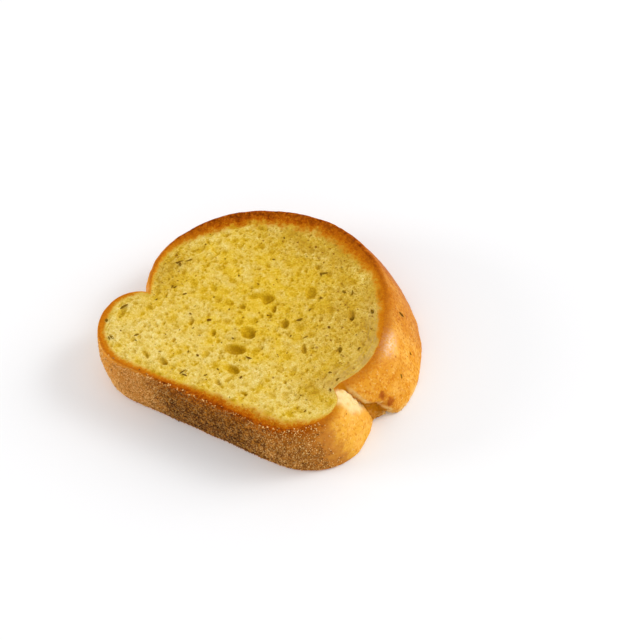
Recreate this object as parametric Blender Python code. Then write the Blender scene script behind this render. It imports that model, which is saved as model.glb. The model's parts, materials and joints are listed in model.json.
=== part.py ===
# One thick slice of garlic bread, lying on its lower cut face.
# +X runs along the loaf's flat base, +Y from the base crust to the top of the
# dome, +Z up through the thickness. The origin is the middle of the footprint.
# Lengths are millimetres until the mesh is written in metres.

import math
import random

import bmesh
import bpy
from mathutils import Matrix, Vector, noise
from mathutils.bvhtree import BVHTree

MM = 0.001
SEED = 7

# Driving dimensions of the upper cut face. u is along the base, v up the slice.
THICKNESS = 24.2
DOME_MID_U = 2.0
DOME_TOP_V = 106.6
DOME_LEFT_U = -58.2
DOME_RIGHT_U = 62.8
DOME_LEFT_V = 60.3
DOME_RIGHT_V = 49.6
DOME_LEFT_DROP = 45.5
DOME_RIGHT_DROP = 43.4
BASE_LEFT_U = -62.8
BASE_RIGHT_U = 60.8
HEART = (1.0, 26.0)
LOBE_LEFT = {"u": -37.8, "v": 22.5, "rise": 17.2, "flare": 1.0, "lift": 2.0}
LOBE_RIGHT = {"u": 38.5, "v": 19.5, "rise": 13.4, "flare": 6.6, "lift": 13.5}

# Exponents of the superellipses that round the dome and the lobes.
DOME_POWER = 2.0
DOME_TOP_RIGHT_POWER = 1.8
LOBE_TOP_POWER = 2.6
LOBE_FOOT_POWER = 1.9

# How far each side of the lower face reaches beyond the upper one, because the
# slice comes from near the rounded end of the loaf.
FLARE = {"right": 11.5, "left": 7.0, "top": 8.0, "under": 5.0, "base": 2.2}
WALL_BULGE = 1.3
WALL_WAVES = 0.45
WALL_WAVE_SIZE = (9.0, 6.0)
FOOTPRINT_MIDDLE = Vector((4.51, 55.57, 0.0))

# Beside each lobe the dome's crust has torn away from the crumb, up to this height
# of v at the upper face and wider by "width" at the lower one.
TEAR_RIGHT = {"top": 33.5, "width": 5.0, "depth": 5.0}
TEAR_LEFT = {"top": 42.0, "width": 5.0, "depth": 2.0}
TEAR_FADE = 6.0

# The crust at the edge of the cut face, and the waves of the crumb inside it.
EDGE_ROUND = 1.3
RIM_WIDTH = 3.0
RIM_STEP = 0.2
CRUMB_SINK = 0.8
CRUMB_WAVES = 0.45
CRUMB_WAVE_SIZE = 24.0
CRUMB_RIPPLES = 0.2
CRUMB_RIPPLE_SIZE = 7.0

# Mesh density: points along the outline, levels of the wall, rings of the face.
LOWER_STEPS = 56
DOME_STEPS = 88
RAYS = 1080
RAY_LENGTH = 140.0
HALVINGS = 26
WALL_LEVELS = (0.0, 0.7, 3.6, 6.8, 10.0, 13.2, 16.4, 19.4, 21.8, 23.0, 23.8, THICKNESS)
CAP_MIDDLE = Vector((1.0, 50.0))
CAP_ROUND = 50.0
CAP_RINGS = (
    (0.93, False), (0.86, True), (0.78, False), (0.69, False),
    (0.59, True), (0.47, False), (0.34, True), (0.19, False),
)

# The holes that show most: u, v, length, width, turn in degrees, depth.
LARGE_HOLES = [
    (5, 36.5, 7.0, 6.0, 0, 2.6),
    (3, 27.5, 9.0, 5.0, 20, 2.8),
    (1, 58, 5.0, 6.0, 30, 2.2),
    (8, 18.5, 7.5, 4.0, 15, 2.2),
    (-22.5, 9.5, 6.5, 3.8, -10, 2.0),
    (15.5, 49.5, 4.5, 4.2, 0, 2.0),
    (40.5, 65, 4.0, 5.0, 25, 1.8),
    (7, 54, 3.0, 4.4, 20, 1.8),
    (18, 68.5, 4.0, 6.5, 35, 1.5),
    (30, 41.5, 2.6, 6.5, 30, 1.5),
    (-34, 10.5, 6.5, 2.8, -12, 1.6),
    (-23.5, 34, 3.0, 4.0, 20, 1.5),
    (-10, 31.5, 3.0, 3.4, 0, 1.6),
    (6, 10.5, 4.8, 2.8, 0, 1.5),
]
SMALL_HOLES = 26
SMALL_HOLE_SIZE = (2.2, 3.8)
SMALL_HOLE_DEPTH = 0.45
HOLE_SPACING = 6.5
HOLE_UNEVENNESS = 0.16

# Dried herb leaves: u, v, length, turn in degrees. The rest are scattered.
LARGE_LEAVES = [
    (-47.5, 59.5, 4.2, 60),
    (-44.3, 61.7, 3.4, 10),
    (-56.0, 27.2, 4.4, 70),
    (-50.7, 10.6, 4.8, 40),
    (17.0, 80.2, 4.4, 55),
    (-10.5, 8.6, 3.6, 70),
    (20.4, 53.7, 3.4, -25),
    (44.7, 47.5, 3.4, 110),
    (34.0, 76.0, 3.0, 10),
    (-41.4, 16.6, 3.0, 60),
    (11.0, 27.2, 3.4, 45),
    (27.6, 46.8, 2.8, 75),
]
SMALL_LEAVES = 22
SMALL_LEAF_LENGTH = (2.0, 3.0)
LEAF_SPACING = 5.0
LEAF_THICKNESS = 0.7
LEAF_WIDTH = 2.6
LEAF_RISE = 0.22
LEAF_CURL = 0.3
LEAF_ROWS = ((-0.5, 0.12), (-0.2, 0.3), (0.15, 0.26), (0.5, 0.08))
FACE_MARGIN = 7.0

# Cornmeal on the base crust: its stretch along u and its band of heights.
GRAINS = 54
GRAIN_SIZE = (1.1, 1.7)
GRAIN_STRETCH = (-49.8, 48.2)
GRAIN_BAND = (2.2, 21.2)
GRAIN_RISE = 0.12
GOLDEN_STEP = 0.618

CRUST_COLOUR = (0.62, 0.36, 0.07, 1.0)


def clear_scene():
    for item in list(bpy.data.objects):
        bpy.data.objects.remove(item, do_unlink=True)


def tear_depth(v, spread, tear):
    # How far the torn crumb lies behind the crust, none of it at the upper face.
    lip = tear["top"] + tear["width"] * spread
    share = (lip - v) / TEAR_FADE + 0.5
    return tear["depth"] * math.sqrt(spread) * max(0.0, min(1.0, share))


def in_dome(u, v, spread, inset):
    # A superellipse whose four quarters have their own radii.
    right = u > DOME_MID_U
    inset += tear_depth(v, spread, TEAR_RIGHT if right else TEAR_LEFT)
    side_v = DOME_RIGHT_V if right else DOME_LEFT_V
    reach = DOME_RIGHT_U - DOME_MID_U if right else DOME_MID_U - DOME_LEFT_U
    reach += FLARE["right" if right else "left"] * spread - inset
    if v > side_v:
        tall = DOME_TOP_V - side_v + FLARE["top"] * spread - inset
        power = DOME_TOP_RIGHT_POWER if right else DOME_POWER
    else:
        tall = (DOME_RIGHT_DROP if right else DOME_LEFT_DROP) + FLARE["under"] * spread - inset
        power = DOME_POWER
    return abs((u - DOME_MID_U) / reach) ** power + abs((v - side_v) / tall) ** power < 1


def in_base(u, v, spread, inset):
    # The loaf's foot: a flat bottom between two rounded lobes.
    foot = FLARE["base"] * spread - inset
    if LOBE_LEFT["u"] <= u <= LOBE_RIGHT["u"]:
        share = (u - LOBE_LEFT["u"]) / (LOBE_RIGHT["u"] - LOBE_LEFT["u"])
        left_top = LOBE_LEFT["v"] + LOBE_LEFT["rise"] + LOBE_LEFT["lift"] * spread
        right_top = LOBE_RIGHT["v"] + LOBE_RIGHT["rise"] + LOBE_RIGHT["lift"] * spread
        return -foot < v < left_top + (right_top - left_top) * share - inset
    lobe = LOBE_LEFT if u < 0 else LOBE_RIGHT
    reach = abs((BASE_LEFT_U if u < 0 else BASE_RIGHT_U) - lobe["u"])
    reach += lobe["flare"] * spread - inset
    if v > lobe["v"]:
        tall, power = lobe["rise"] + lobe["lift"] * spread - inset, LOBE_TOP_POWER
    else:
        tall, power = lobe["v"] + foot, LOBE_FOOT_POWER
    return abs((u - lobe["u"]) / reach) ** power + abs((v - lobe["v"]) / tall) ** power < 1


def reach_along(inside, angle, spread, inset):
    # Distance from the slice's heart to the edge of one of the two shapes.
    near, far = 0.0, RAY_LENGTH
    for _ in range(HALVINGS):
        middle = (near + far) / 2
        u = HEART[0] + middle * math.cos(angle)
        v = HEART[1] + middle * math.sin(angle)
        near, far = (middle, far) if inside(u, v, spread, inset) else (near, middle)
    return near


def evenly(points, steps):
    # The polyline cut into equal steps, its last point left to the next stretch.
    lengths = [0.0]
    for a, b in zip(points, points[1:]):
        lengths.append(lengths[-1] + (b - a).length)
    cut, k = [], 0
    for step in range(steps):
        wanted = lengths[-1] * step / steps
        while lengths[k + 1] < wanted:
            k += 1
        span = lengths[k + 1] - lengths[k]
        cut.append(points[k].lerp(points[k + 1], (wanted - lengths[k]) / span))
    return cut


def outline(spread, inset):
    # The union of foot and dome. It starts at the left notch, runs round the foot
    # to the right notch, and back over the dome, with a point on each notch.
    edge = []
    for k in range(RAYS):
        angle = 2 * math.pi * k / RAYS
        foot = reach_along(in_base, angle, spread, inset)
        dome = reach_along(in_dome, angle, spread, inset)
        far = max(foot, dome)
        point = Vector((HEART[0] + far * math.cos(angle), HEART[1] + far * math.sin(angle)))
        edge.append((point, dome > foot))
    starts = [k for k in range(RAYS) if edge[k][1] != edge[k - 1][1]]
    left_notch = next(k for k in starts if not edge[k][1])
    turned = edge[left_notch:] + edge[:left_notch]
    foot_points = [p for p, on_dome in turned if not on_dome]
    dome_points = [p for p, on_dome in turned if on_dome]
    lower = evenly(foot_points + dome_points[:1], LOWER_STEPS)
    upper = evenly(dome_points + foot_points[:1], DOME_STEPS)
    return lower + upper


def crumb_height(u, v):
    at = Vector((u, v, 0))
    wave = noise.noise(at / CRUMB_WAVE_SIZE) * CRUMB_WAVES
    ripple = noise.noise(at / CRUMB_RIPPLE_SIZE) * CRUMB_RIPPLES
    return THICKNESS - CRUMB_SINK + wave + ripple


def outward_normals(ring):
    normals = []
    for i in range(len(ring)):
        along = (ring[(i + 1) % len(ring)] - ring[i - 1]).normalized()
        normals.append(Vector((along.y, -along.x)))
    return normals


def wall_ring(height):
    # One level of the crust wall, with the flare, the bulge and the unevenness.
    share = height / THICKNESS
    spread = 1 - share
    inset = 0.0
    below_edge = THICKNESS - height
    if below_edge < EDGE_ROUND:
        inset = EDGE_ROUND - math.sqrt(EDGE_ROUND ** 2 - (EDGE_ROUND - below_edge) ** 2)
    elif height < EDGE_ROUND / 2:
        inset = EDGE_ROUND / 2 - height
    ring = outline(spread, inset)
    moved = []
    for point, outward in zip(ring, outward_normals(ring)):
        push = WALL_BULGE * math.sin(math.pi * share)
        if 0 < height < THICKNESS:
            along, up = WALL_WAVE_SIZE
            push += noise.noise(Vector((point.x / along, point.y / along, height / up))) * WALL_WAVES
        moved.append(point + outward * push)
    return [Vector((p.x, p.y, height)) for p in moved]


def slice_body():
    # Lower face, wall, crust rim and the waved cut face, as one closed mesh.
    body = bmesh.new()
    levels = []
    for height in WALL_LEVELS:
        levels.append([body.verts.new(p) for p in wall_ring(height)])
    edge = outline(0, 0)
    rim = [point - outward * RIM_WIDTH for point, outward in zip(edge, outward_normals(edge))]
    levels.append([body.verts.new((p.x, p.y, crumb_height(p.x, p.y) + RIM_STEP)) for p in rim])
    count = len(rim)
    for below, above in zip(levels, levels[1:]):
        for i in range(count):
            j = (i + 1) % count
            body.faces.new((below[i], below[j], above[j], above[i]))
    body.faces.new(list(reversed(levels[0])))
    cap_face(body, levels[-1], rim)
    bmesh.ops.recalc_face_normals(body, faces=body.faces)
    bmesh.ops.triangulate(body, faces=body.faces)
    return body


def cap_face(body, edge, rim):
    # Rings shrink towards the middle, growing rounder, some with half the points.
    outer = edge
    for scale, halve in CAP_RINGS:
        rim = rim[::2] if halve else rim
        inner = []
        for p in rim:
            way = p - CAP_MIDDLE
            length = way.length * scale + CAP_ROUND * (1 - scale)
            at = CAP_MIDDLE + way.normalized() * length * scale
            inner.append(body.verts.new((at.x, at.y, crumb_height(at.x, at.y))))
        for i in range(len(inner)):
            j = (i + 1) % len(inner)
            if halve:
                a, b, c = outer[2 * i], outer[2 * i + 1], outer[(2 * i + 2) % len(outer)]
                body.faces.new((a, b, inner[i]))
                body.faces.new((b, inner[j], inner[i]))
                body.faces.new((b, c, inner[j]))
            else:
                body.faces.new((outer[i], outer[j], inner[j], inner[i]))
        outer = inner
    u, v = CAP_MIDDLE
    top = body.verts.new((u, v, crumb_height(u, v)))
    for i in range(len(outer)):
        body.faces.new((outer[i], outer[(i + 1) % len(outer)], top))


def drop_onto(tree, u, v):
    # Where a thing let fall at (u, v) lands on the slice, and the slope there.
    hit, normal, _, _ = tree.ray_cast(Vector((u, v, THICKNESS + 20)), Vector((0, 0, -1)))
    return hit, normal


def facing(normal, turn):
    # A rotation that lays a flat thing on a surface, turned about its normal.
    return normal.to_track_quat("Z", "Y").to_matrix().to_4x4() @ Matrix.Rotation(turn, 4, "Z")


def hole_mesh(length, width, depth, rng):
    # An uneven egg, sunk so that its widest level lies at the crumb's surface.
    hole = bmesh.new()
    bmesh.ops.create_icosphere(hole, subdivisions=2, radius=1.0)
    offset = Vector((rng.uniform(-9, 9), rng.uniform(-9, 9), rng.uniform(-9, 9)))
    for vert in hole.verts:
        uneven = 1 + HOLE_UNEVENNESS * noise.noise(vert.co * 1.4 + offset)
        vert.co = Vector((vert.co.x * length / 2, vert.co.y * width / 2, vert.co.z * depth)) * uneven
    return hole


def leaf_mesh(length, rng):
    # A bent, tapering flake of dried leaf with a closed edge.
    leaf = bmesh.new()
    bend = rng.uniform(-0.5, 0.5)
    rows = []
    for along, half in LEAF_ROWS:
        x, y = along * length, bend * (0.25 - along * along)
        low, high = y - half * LEAF_WIDTH, y + half * LEAF_WIDTH
        under = LEAF_CURL * abs(along) - LEAF_THICKNESS / 2
        over = under + LEAF_THICKNESS
        corners = ((x, low, under), (x, high, under), (x, high, over), (x, low, over))
        rows.append([leaf.verts.new(corner) for corner in corners])
    for a, b in zip(rows, rows[1:]):
        for i in range(4):
            leaf.faces.new((a[i], a[(i + 1) % 4], b[(i + 1) % 4], b[i]))
    leaf.faces.new(rows[0])
    leaf.faces.new(list(reversed(rows[-1])))
    bmesh.ops.recalc_face_normals(leaf, faces=leaf.faces)
    return leaf


def grain_mesh(size, rng):
    grain = bmesh.new()
    bmesh.ops.create_icosphere(grain, subdivisions=1, radius=size / 2)
    stretch = Vector((1.0, rng.uniform(0.7, 1.0), rng.uniform(0.7, 0.95)))
    for vert in grain.verts:
        vert.co = vert.co * stretch
    return grain


def add_object(name, mesh_source, matrix, collection):
    mesh = bpy.data.meshes.new(name)
    mesh_source.transform(matrix)
    mesh_source.to_mesh(mesh)
    mesh_source.free()
    item = bpy.data.objects.new(name, mesh)
    collection.objects.link(item)
    return item


def scattered(count, apart, taken, rng):
    # Random places on the cut face, clear of its crust and of what is there.
    places = []
    while len(places) < count:
        u, v = rng.uniform(BASE_LEFT_U, DOME_RIGHT_U), rng.uniform(0, DOME_TOP_V)
        if not (in_dome(u, v, 0, FACE_MARGIN) or in_base(u, v, 0, FACE_MARGIN)):
            continue
        if all(math.hypot(u - x, v - y) > apart for x, y in taken + places):
            places.append((u, v))
    return places


def add_holes(tree, collection, rng):
    large = [hole[:2] for hole in LARGE_HOLES]
    holes = list(LARGE_HOLES)
    for u, v in scattered(SMALL_HOLES, HOLE_SPACING, large, rng):
        size = rng.uniform(*SMALL_HOLE_SIZE)
        length, turn = size * rng.uniform(1.0, 1.5), rng.uniform(0, 180)
        holes.append((u, v, length, size, turn, size * SMALL_HOLE_DEPTH))
    for k, (u, v, length, width, turn, depth) in enumerate(holes):
        hit, _ = drop_onto(tree, u, v)
        place = Matrix.Translation(hit) @ Matrix.Rotation(math.radians(turn), 4, "Z")
        add_object(f"hole_{k}", hole_mesh(length, width, depth, rng), place, collection)
    return [hole[:2] for hole in holes]


def add_leaves(tree, taken, collection, rng):
    leaves = list(LARGE_LEAVES)
    for u, v in scattered(SMALL_LEAVES, LEAF_SPACING, taken + [leaf[:2] for leaf in leaves], rng):
        leaves.append((u, v, rng.uniform(*SMALL_LEAF_LENGTH), rng.uniform(0, 180)))
    for k, (u, v, length, turn) in enumerate(leaves):
        hit, normal = drop_onto(tree, u, v)
        place = Matrix.Translation(hit + normal * LEAF_RISE) @ facing(normal, math.radians(turn))
        add_object(f"leaf_{k}", leaf_mesh(length, rng), place, collection)


def add_grains(tree, collection, rng):
    # Cornmeal from the baking tray sticks to the flat base crust alone.
    from_u, to_u = GRAIN_STRETCH
    low, high = GRAIN_BAND
    for k in range(GRAINS):
        u = from_u + (to_u - from_u) * (k + rng.uniform(0.1, 0.9)) / GRAINS
        height = low + (high - low) * ((k * GOLDEN_STEP) % 1.0)
        hit, normal, _, _ = tree.ray_cast(Vector((u, -RAY_LENGTH, height)), Vector((0, 1, 0)))
        size = rng.uniform(*GRAIN_SIZE)
        place = Matrix.Translation(hit + normal * size * GRAIN_RISE)
        place = place @ facing(normal, rng.uniform(0, math.pi))
        add_object(f"grain_{k}", grain_mesh(size, rng), place, collection)


def join(target, collection, operation):
    # One Boolean takes in the whole collection, and its objects then go.
    boolean = target.modifiers.new(operation.lower(), "BOOLEAN")
    boolean.operation = operation
    boolean.operand_type = "COLLECTION"
    boolean.collection = collection
    bpy.context.view_layer.update()
    graph = bpy.context.evaluated_depsgraph_get()
    joined = bpy.data.meshes.new_from_object(target.evaluated_get(graph))
    target.modifiers.clear()
    target.data = joined
    for item in list(collection.objects):
        bpy.data.objects.remove(item, do_unlink=True)
    bpy.data.collections.remove(collection)


def crust_material():
    material = bpy.data.materials.new("toasted_bread")
    material.use_nodes = True
    shader = material.node_tree.nodes["Principled BSDF"]
    shader.inputs["Base Color"].default_value = CRUST_COLOUR
    shader.inputs["Roughness"].default_value = 0.55
    shader.inputs["Metallic"].default_value = 0.0
    return material


def new_collection(name):
    collection = bpy.data.collections.new(name)
    bpy.context.scene.collection.children.link(collection)
    return collection


def main():
    clear_scene()
    rng = random.Random(SEED)
    body = slice_body()
    tree = BVHTree.FromBMesh(body)
    bread = add_object("garlic_bread_slice", body, Matrix(), bpy.context.scene.collection)
    holes = new_collection("holes")
    toppings = new_collection("toppings")
    taken = add_holes(tree, holes, rng)
    add_leaves(tree, taken, toppings, rng)
    add_grains(tree, toppings, rng)
    join(bread, holes, "DIFFERENCE")
    join(bread, toppings, "UNION")

    # The origin goes to the middle of the footprint, and millimetres to metres.
    bread.data.transform(Matrix.Scale(MM, 4) @ Matrix.Translation(-FOOTPRINT_MIDDLE))
    bread.data.materials.clear()
    bread.data.materials.append(crust_material())
    bread.data.shade_smooth()
    bread.data.set_sharp_from_angle(angle=math.radians(40))


main()
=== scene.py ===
import json
import math

import bmesh
import bpy
import numpy as np
from mathutils import Matrix, Vector, geometry, kdtree, noise
from mathutils.bvhtree import BVHTree

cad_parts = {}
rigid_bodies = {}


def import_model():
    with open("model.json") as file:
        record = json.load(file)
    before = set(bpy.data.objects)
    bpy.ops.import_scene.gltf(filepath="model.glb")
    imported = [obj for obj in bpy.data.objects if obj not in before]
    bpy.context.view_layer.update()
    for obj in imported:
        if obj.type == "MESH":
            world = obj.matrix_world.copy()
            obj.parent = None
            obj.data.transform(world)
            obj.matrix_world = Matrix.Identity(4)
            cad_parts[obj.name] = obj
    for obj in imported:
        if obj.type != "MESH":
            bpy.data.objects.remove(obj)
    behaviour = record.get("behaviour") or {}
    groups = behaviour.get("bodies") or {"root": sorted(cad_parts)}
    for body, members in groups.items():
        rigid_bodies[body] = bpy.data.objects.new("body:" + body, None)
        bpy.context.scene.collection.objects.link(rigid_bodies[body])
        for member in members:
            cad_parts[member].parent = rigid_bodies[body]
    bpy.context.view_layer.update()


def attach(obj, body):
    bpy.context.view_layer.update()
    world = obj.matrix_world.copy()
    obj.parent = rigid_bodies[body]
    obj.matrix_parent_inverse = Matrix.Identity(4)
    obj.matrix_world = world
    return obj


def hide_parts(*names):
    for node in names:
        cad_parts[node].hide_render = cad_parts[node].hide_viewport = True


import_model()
mm = 0.001
print("frame loaded")


def addObject(name, data):
    added = bpy.data.objects.new(name, data)
    bpy.context.scene.collection.objects.link(added)
    return added


# The camera, in the slice's plane: where it stands, and its own three axes.
photoCamera = {
    "place": (271.04, -277.68, 487.41),
    "right": (0.84879, 0.50825, -0.14574),
    "up": (-0.32770, 0.72200, 0.60937),
    "back": (0.41493, -0.46947, 0.77937),
    "angle": 26.0,
}


def addCamera():
    data = bpy.data.cameras.new("camera")
    data.sensor_width = 36.0
    data.angle = math.radians(photoCamera["angle"])
    data.clip_start = 0.01
    data.clip_end = 20.0
    camera = addObject("camera", data)
    axes = Matrix((photoCamera["right"], photoCamera["up"], photoCamera["back"])).transposed()
    camera.matrix_world = Matrix.LocRotScale(
        Vector(photoCamera["place"]) * mm, axes.to_quaternion(), None)
    bpy.context.scene.camera = camera


addCamera()
print("camera set")


# The outline of the loaf: a dome over a foot with two lobes. Values are mm in the
# upper cut face, and "flare" is how far each side of the lower face reaches past it.
loaf = {
    "thickness": 24.2,
    "middle": (4.51, 55.57),  # lies over the frame's origin
    "heart": (1.0, 26.0),     # where the rays start that find the outline
    "domeMiddle": 2.0,
    "domeTop": 106.6,
    "domeLeft": {"side": 60.2, "height": 60.3, "drop": 45.5, "flare": 7.0},
    "domeRight": {"side": 60.8, "height": 49.6, "drop": 43.4, "flare": 11.5},
    "lobeLeft": {"u": -37.8, "v": 22.5, "reach": 25.0, "rise": 17.2, "flare": 1.0, "lift": 2.0},
    "lobeRight": {"u": 38.5, "v": 19.5, "reach": 22.3, "rise": 13.4, "flare": 6.6, "lift": 13.5},
    "powers": {"dome": 2.0, "topRight": 1.8, "lobeTop": 2.6, "lobeFoot": 1.9},
    "flareTop": 8.0,
    "flareUnder": 5.0,
    "flareBase": 2.2,
    "rays": 1440,
    "footSteps": 256,         # points of each level round the foot
    "domeSteps": 464,         # and over the dome
    "easing": 70,             # rounds of easing the dome's corners
    "keptEnds": (9.0, 17.0),  # mm from its ends over which easing sets in
}

# Where the dome's crust has torn off the lobe: the lip's v at each height, how far
# the crumb lies behind it, over how many mm it steps back, and how ragged the lip is,
# as depth and size.
tears = {
    "right": {
        "heights": (0, 3, 4.8, 7.2, 10.2, 12, 13.2, 15, 18, 24.2),
        "lip": (41.2, 40.6, 40.1, 39.5, 39.4, 37.2, 35.0, 34.0, 33.0, 31.5),
        "depth": 5.0,
        "step": 1.2,
        "ragged": ((1.3, 2.4), (0.7, 1.1)),
    },
    "left": {
        "heights": (0, 24.2),
        "lip": (47.0, 42.0),
        "depth": 2.0,
        "step": 2.5,
        "ragged": ((1.0, 2.4),),
    },
}

# The crust round the slice. Dents are depth and size, and noises have a seed too.
crustWall = {
    "bulge": 1.3,            # of the wall at half its height
    "waves": 0.35,
    "waveSize": (9.0, 9.0, 6.0),
    "edgeRound": 0.55,       # radius of the upper edge
    "domeRound": 0.75,       # more of it over the dome
    "sideRound": 2.0,        # along the right side of the dome
    "lobeRound": 2.3,        # and along the right lobe
    "bottomRound": 0.65,
    "uneven": ((0.2, 4.0, 8), (0.16, 1.6, 9)),    # makes the edges of all masks ragged
    "dents": ((0.16, 3.4), (0.1, 1.5)),
    "gritDents": ((0.16, 1.3), (0.1, 0.7)),
    "tornDents": ((0.7, 2.6), (0.6, 1.2)),
    "fray": ((0.6, 1.3, 6), (0.6, 0.7, 7)),       # of the lower edge under the dome
    # How much the dome's upper part stands out, by the angle round the cut face.
    "swell": (
        (60, 84, 112, 135, 146, 157, 168, 180, 190),
        (0.0, 0.7, 0.8, 1.0, 0.0, 0.1, 0.6, 0.3, 0.0)),
    # Grit sticks to the base: how far down the crust faces there, and how much of it
    # is left bare under the rim, in mm by u.
    "gritFaces": (0.52, 0.88),
    "flourFaces": (0.1, 0.78),
    "tilt": 0.26,            # of the left half of the base
    "bareUnderRim": ((-52, -20), (5.0, 1.1)),
    "leftEnd": 0.45,         # of the grit that reaches the left end
    # How far the cream wedge of torn crumb reaches from the right notch, by height.
    "wedge": ((8, 12, 14, 18, 24.2), (0.0, 2.5, 6.0, 8.5, 8.0)),
    # How browned the dome is by that angle, and the base by u.
    "domeBake": (
        (0, 12, 28, 45, 70, 110, 150, 180, 210, 360),
        (0, 0.05, 0.35, 0.6, 0.8, 0.85, 0.7, 0.3, 0, 0)),
    "baseBake": ((-60, -34, -10, 18, 34, 60), (-0.5, -0.3, 1.0, 1.0, 0.5, 0.2)),
    # Places on it: u, v, h and size. Round the first the crust is shiny and a highlight and
    # sheen are painted on it, and the others are blisters.
    "shineAndPaintedSheenSpot": (60.9, 59.0, 24.0, 6.8),
    "blisters": ((67.8, 39.9, 13.2, 1.5), (70.7, 41.3, 8.4, 2.0), (66.0, 47.0, 15.0, 0.9)),
}

# What is known at each point of the bread, for the materials and for the strewing:
# face is 1 on the cut faces, pit is 1 deep in a pore, toast and bake are how browned it
# is, glaze is how shiny it is and how much highlight and sheen are painted on it, and
# alongCrust and fromCrust are mm from the crust's start and inwards from it. The others
# say how much of what they are named for is there.
maskNames = (
    "face", "rim", "pit", "toast", "gold", "khaki", "pale", "grit", "gritGround", "torn",
    "bake", "underLip", "lipEdge", "lobe", "coatAndPaintedSheen", "alongCrust", "fromCrust", "herbGround")


def smoothStep(value, low, high):
    share = np.clip((value - low) / (high - low), 0.0, 1.0)
    return share * share * (3.0 - 2.0 * share)


def noiseAt(points, size, seed=0):
    # Perlin noise of about -1 to 1, with features of this size in mm.
    shift = Vector((seed * 17.3, seed * 7.1, seed * 3.7))
    return np.array([noise.noise(Vector(point) / size + shift) for point in points.tolist()])


def noises(points, layers):
    # A sum of noises, each with its height, size and seed.
    return sum(high * noiseAt(points, size, seed) for high, size, seed in layers)


def allMasks(points, given):
    # Every mask at each point. One that isn't given is 0 there.
    return {name: np.zeros(len(points)) + given.get(name, 0.0) for name in maskNames}


def tearDepth(v, height, tear):
    lip = np.interp(height, tear["heights"], tear["lip"])
    ragged = sum(
        high * noise.noise(Vector((0, high, height / size + 5))) for high, size in tear["ragged"])
    share = smoothStep(lip + ragged - v, -tear["step"] / 2, tear["step"] / 2)
    return tear["depth"] * math.sqrt(1 - height / loaf["thickness"]) * share


def insideDome(u, v, height):
    spread = 1 - height / loaf["thickness"]
    left, right = loaf["domeLeft"], loaf["domeRight"]
    onRight = u > loaf["domeMiddle"]
    inset = np.where(
        onRight, tearDepth(v, height, tears["right"]), tearDepth(v, height, tears["left"]))
    sideHeight = np.where(onRight, right["height"], left["height"])
    reach = np.where(
        onRight, right["side"] + right["flare"] * spread, left["side"] + left["flare"] * spread)
    above = v > sideHeight
    tallAbove = loaf["domeTop"] - sideHeight + loaf["flareTop"] * spread
    tallBelow = np.where(onRight, right["drop"], left["drop"]) + loaf["flareUnder"] * spread
    tall = np.where(above, tallAbove, tallBelow) - inset
    power = np.where(above & onRight, loaf["powers"]["topRight"], loaf["powers"]["dome"])
    across = np.abs((u - loaf["domeMiddle"]) / (reach - inset)) ** power
    return across + np.abs((v - sideHeight) / tall) ** power < 1


def insideFoot(u, v, height):
    spread = 1 - height / loaf["thickness"]
    left, right = loaf["lobeLeft"], loaf["lobeRight"]
    foot = loaf["flareBase"] * spread
    leftTop = left["v"] + left["rise"] + left["lift"] * spread
    rightTop = right["v"] + right["rise"] + right["lift"] * spread
    share = np.clip((u - left["u"]) / (right["u"] - left["u"]), 0, 1)
    inside = (v > -foot) & (v < leftTop + (rightTop - leftTop) * share)
    for lobe, beyond in ((left, u < left["u"]), (right, u > right["u"])):
        top = v > lobe["v"]
        reach = lobe["reach"] + lobe["flare"] * spread
        tall = np.where(top, lobe["rise"] + lobe["lift"] * spread, lobe["v"] + foot)
        power = np.where(top, loaf["powers"]["lobeTop"], loaf["powers"]["lobeFoot"])
        across = np.abs((u - lobe["u"]) / reach) ** power
        within = across + np.abs((v - lobe["v"]) / tall) ** power < 1
        inside = np.where(beyond, within, inside)
    return inside


def reachAlong(inside, angles, height):
    # Distance from the heart to the edge of the dome or the foot along each ray.
    near, far = np.zeros(len(angles)), np.full(len(angles), 140.0)
    for _ in range(26):
        half = (near + far) / 2
        u = loaf["heart"][0] + half * np.cos(angles)
        v = loaf["heart"][1] + half * np.sin(angles)
        hit = inside(u, v, height)
        near, far = np.where(hit, half, near), np.where(hit, far, half)
    return near


def evenly(points, steps):
    lengths = np.concatenate(([0], np.cumsum(np.linalg.norm(np.diff(points, axis=0), axis=1))))
    wanted = lengths[-1] * np.arange(steps) / steps
    return np.stack([np.interp(wanted, lengths, points[:, axis]) for axis in (0, 1)], axis=1)


def softened(points):
    # Eases the corners of a run of points, but not near its ends.
    steps = np.linalg.norm(np.diff(points, axis=0), axis=1)
    along = np.concatenate(([0], np.cumsum(steps)))
    weight = 0.5 * smoothStep(np.minimum(along, along[-1] - along), *loaf["keptEnds"])[1:-1, None]
    points = points.copy()
    for _ in range(loaf["easing"]):
        points[1:-1] += weight * ((points[:-2] + points[2:]) / 2 - points[1:-1])
    return points


def loafOutline(height):
    # From the left notch round the foot to the right notch, and back over the dome.
    angles = 2 * math.pi * np.arange(loaf["rays"]) / loaf["rays"]
    foot = reachAlong(insideFoot, angles, height)
    dome = reachAlong(insideDome, angles, height)
    far = np.maximum(foot, dome)
    points = np.stack([np.cos(angles) * far, np.sin(angles) * far], axis=1) + loaf["heart"]
    onDome = dome > foot
    quarter = loaf["rays"] // 4
    leftNotch = next(k for k in range(quarter, 3 * quarter) if not onDome[k])
    rightNotch = next(k for k in range(quarter, -quarter, -1) if not onDome[k]) + 1
    footSpan = np.arange(leftNotch, loaf["rays"] + rightNotch + 1) % loaf["rays"]
    domeSpan = np.arange(rightNotch, leftNotch + 1)
    foot = evenly(points[footSpan], loaf["footSteps"])
    dome = evenly(points[domeSpan], loaf["domeSteps"])
    return np.concatenate((foot, softened(dome)))


def outwardNormals(ring):
    along = np.roll(ring, -1, axis=0) - np.roll(ring, 1, axis=0)
    along /= np.linalg.norm(along, axis=1)[:, None]
    return np.stack([along[:, 1], -along[:, 0]], axis=1)


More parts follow.
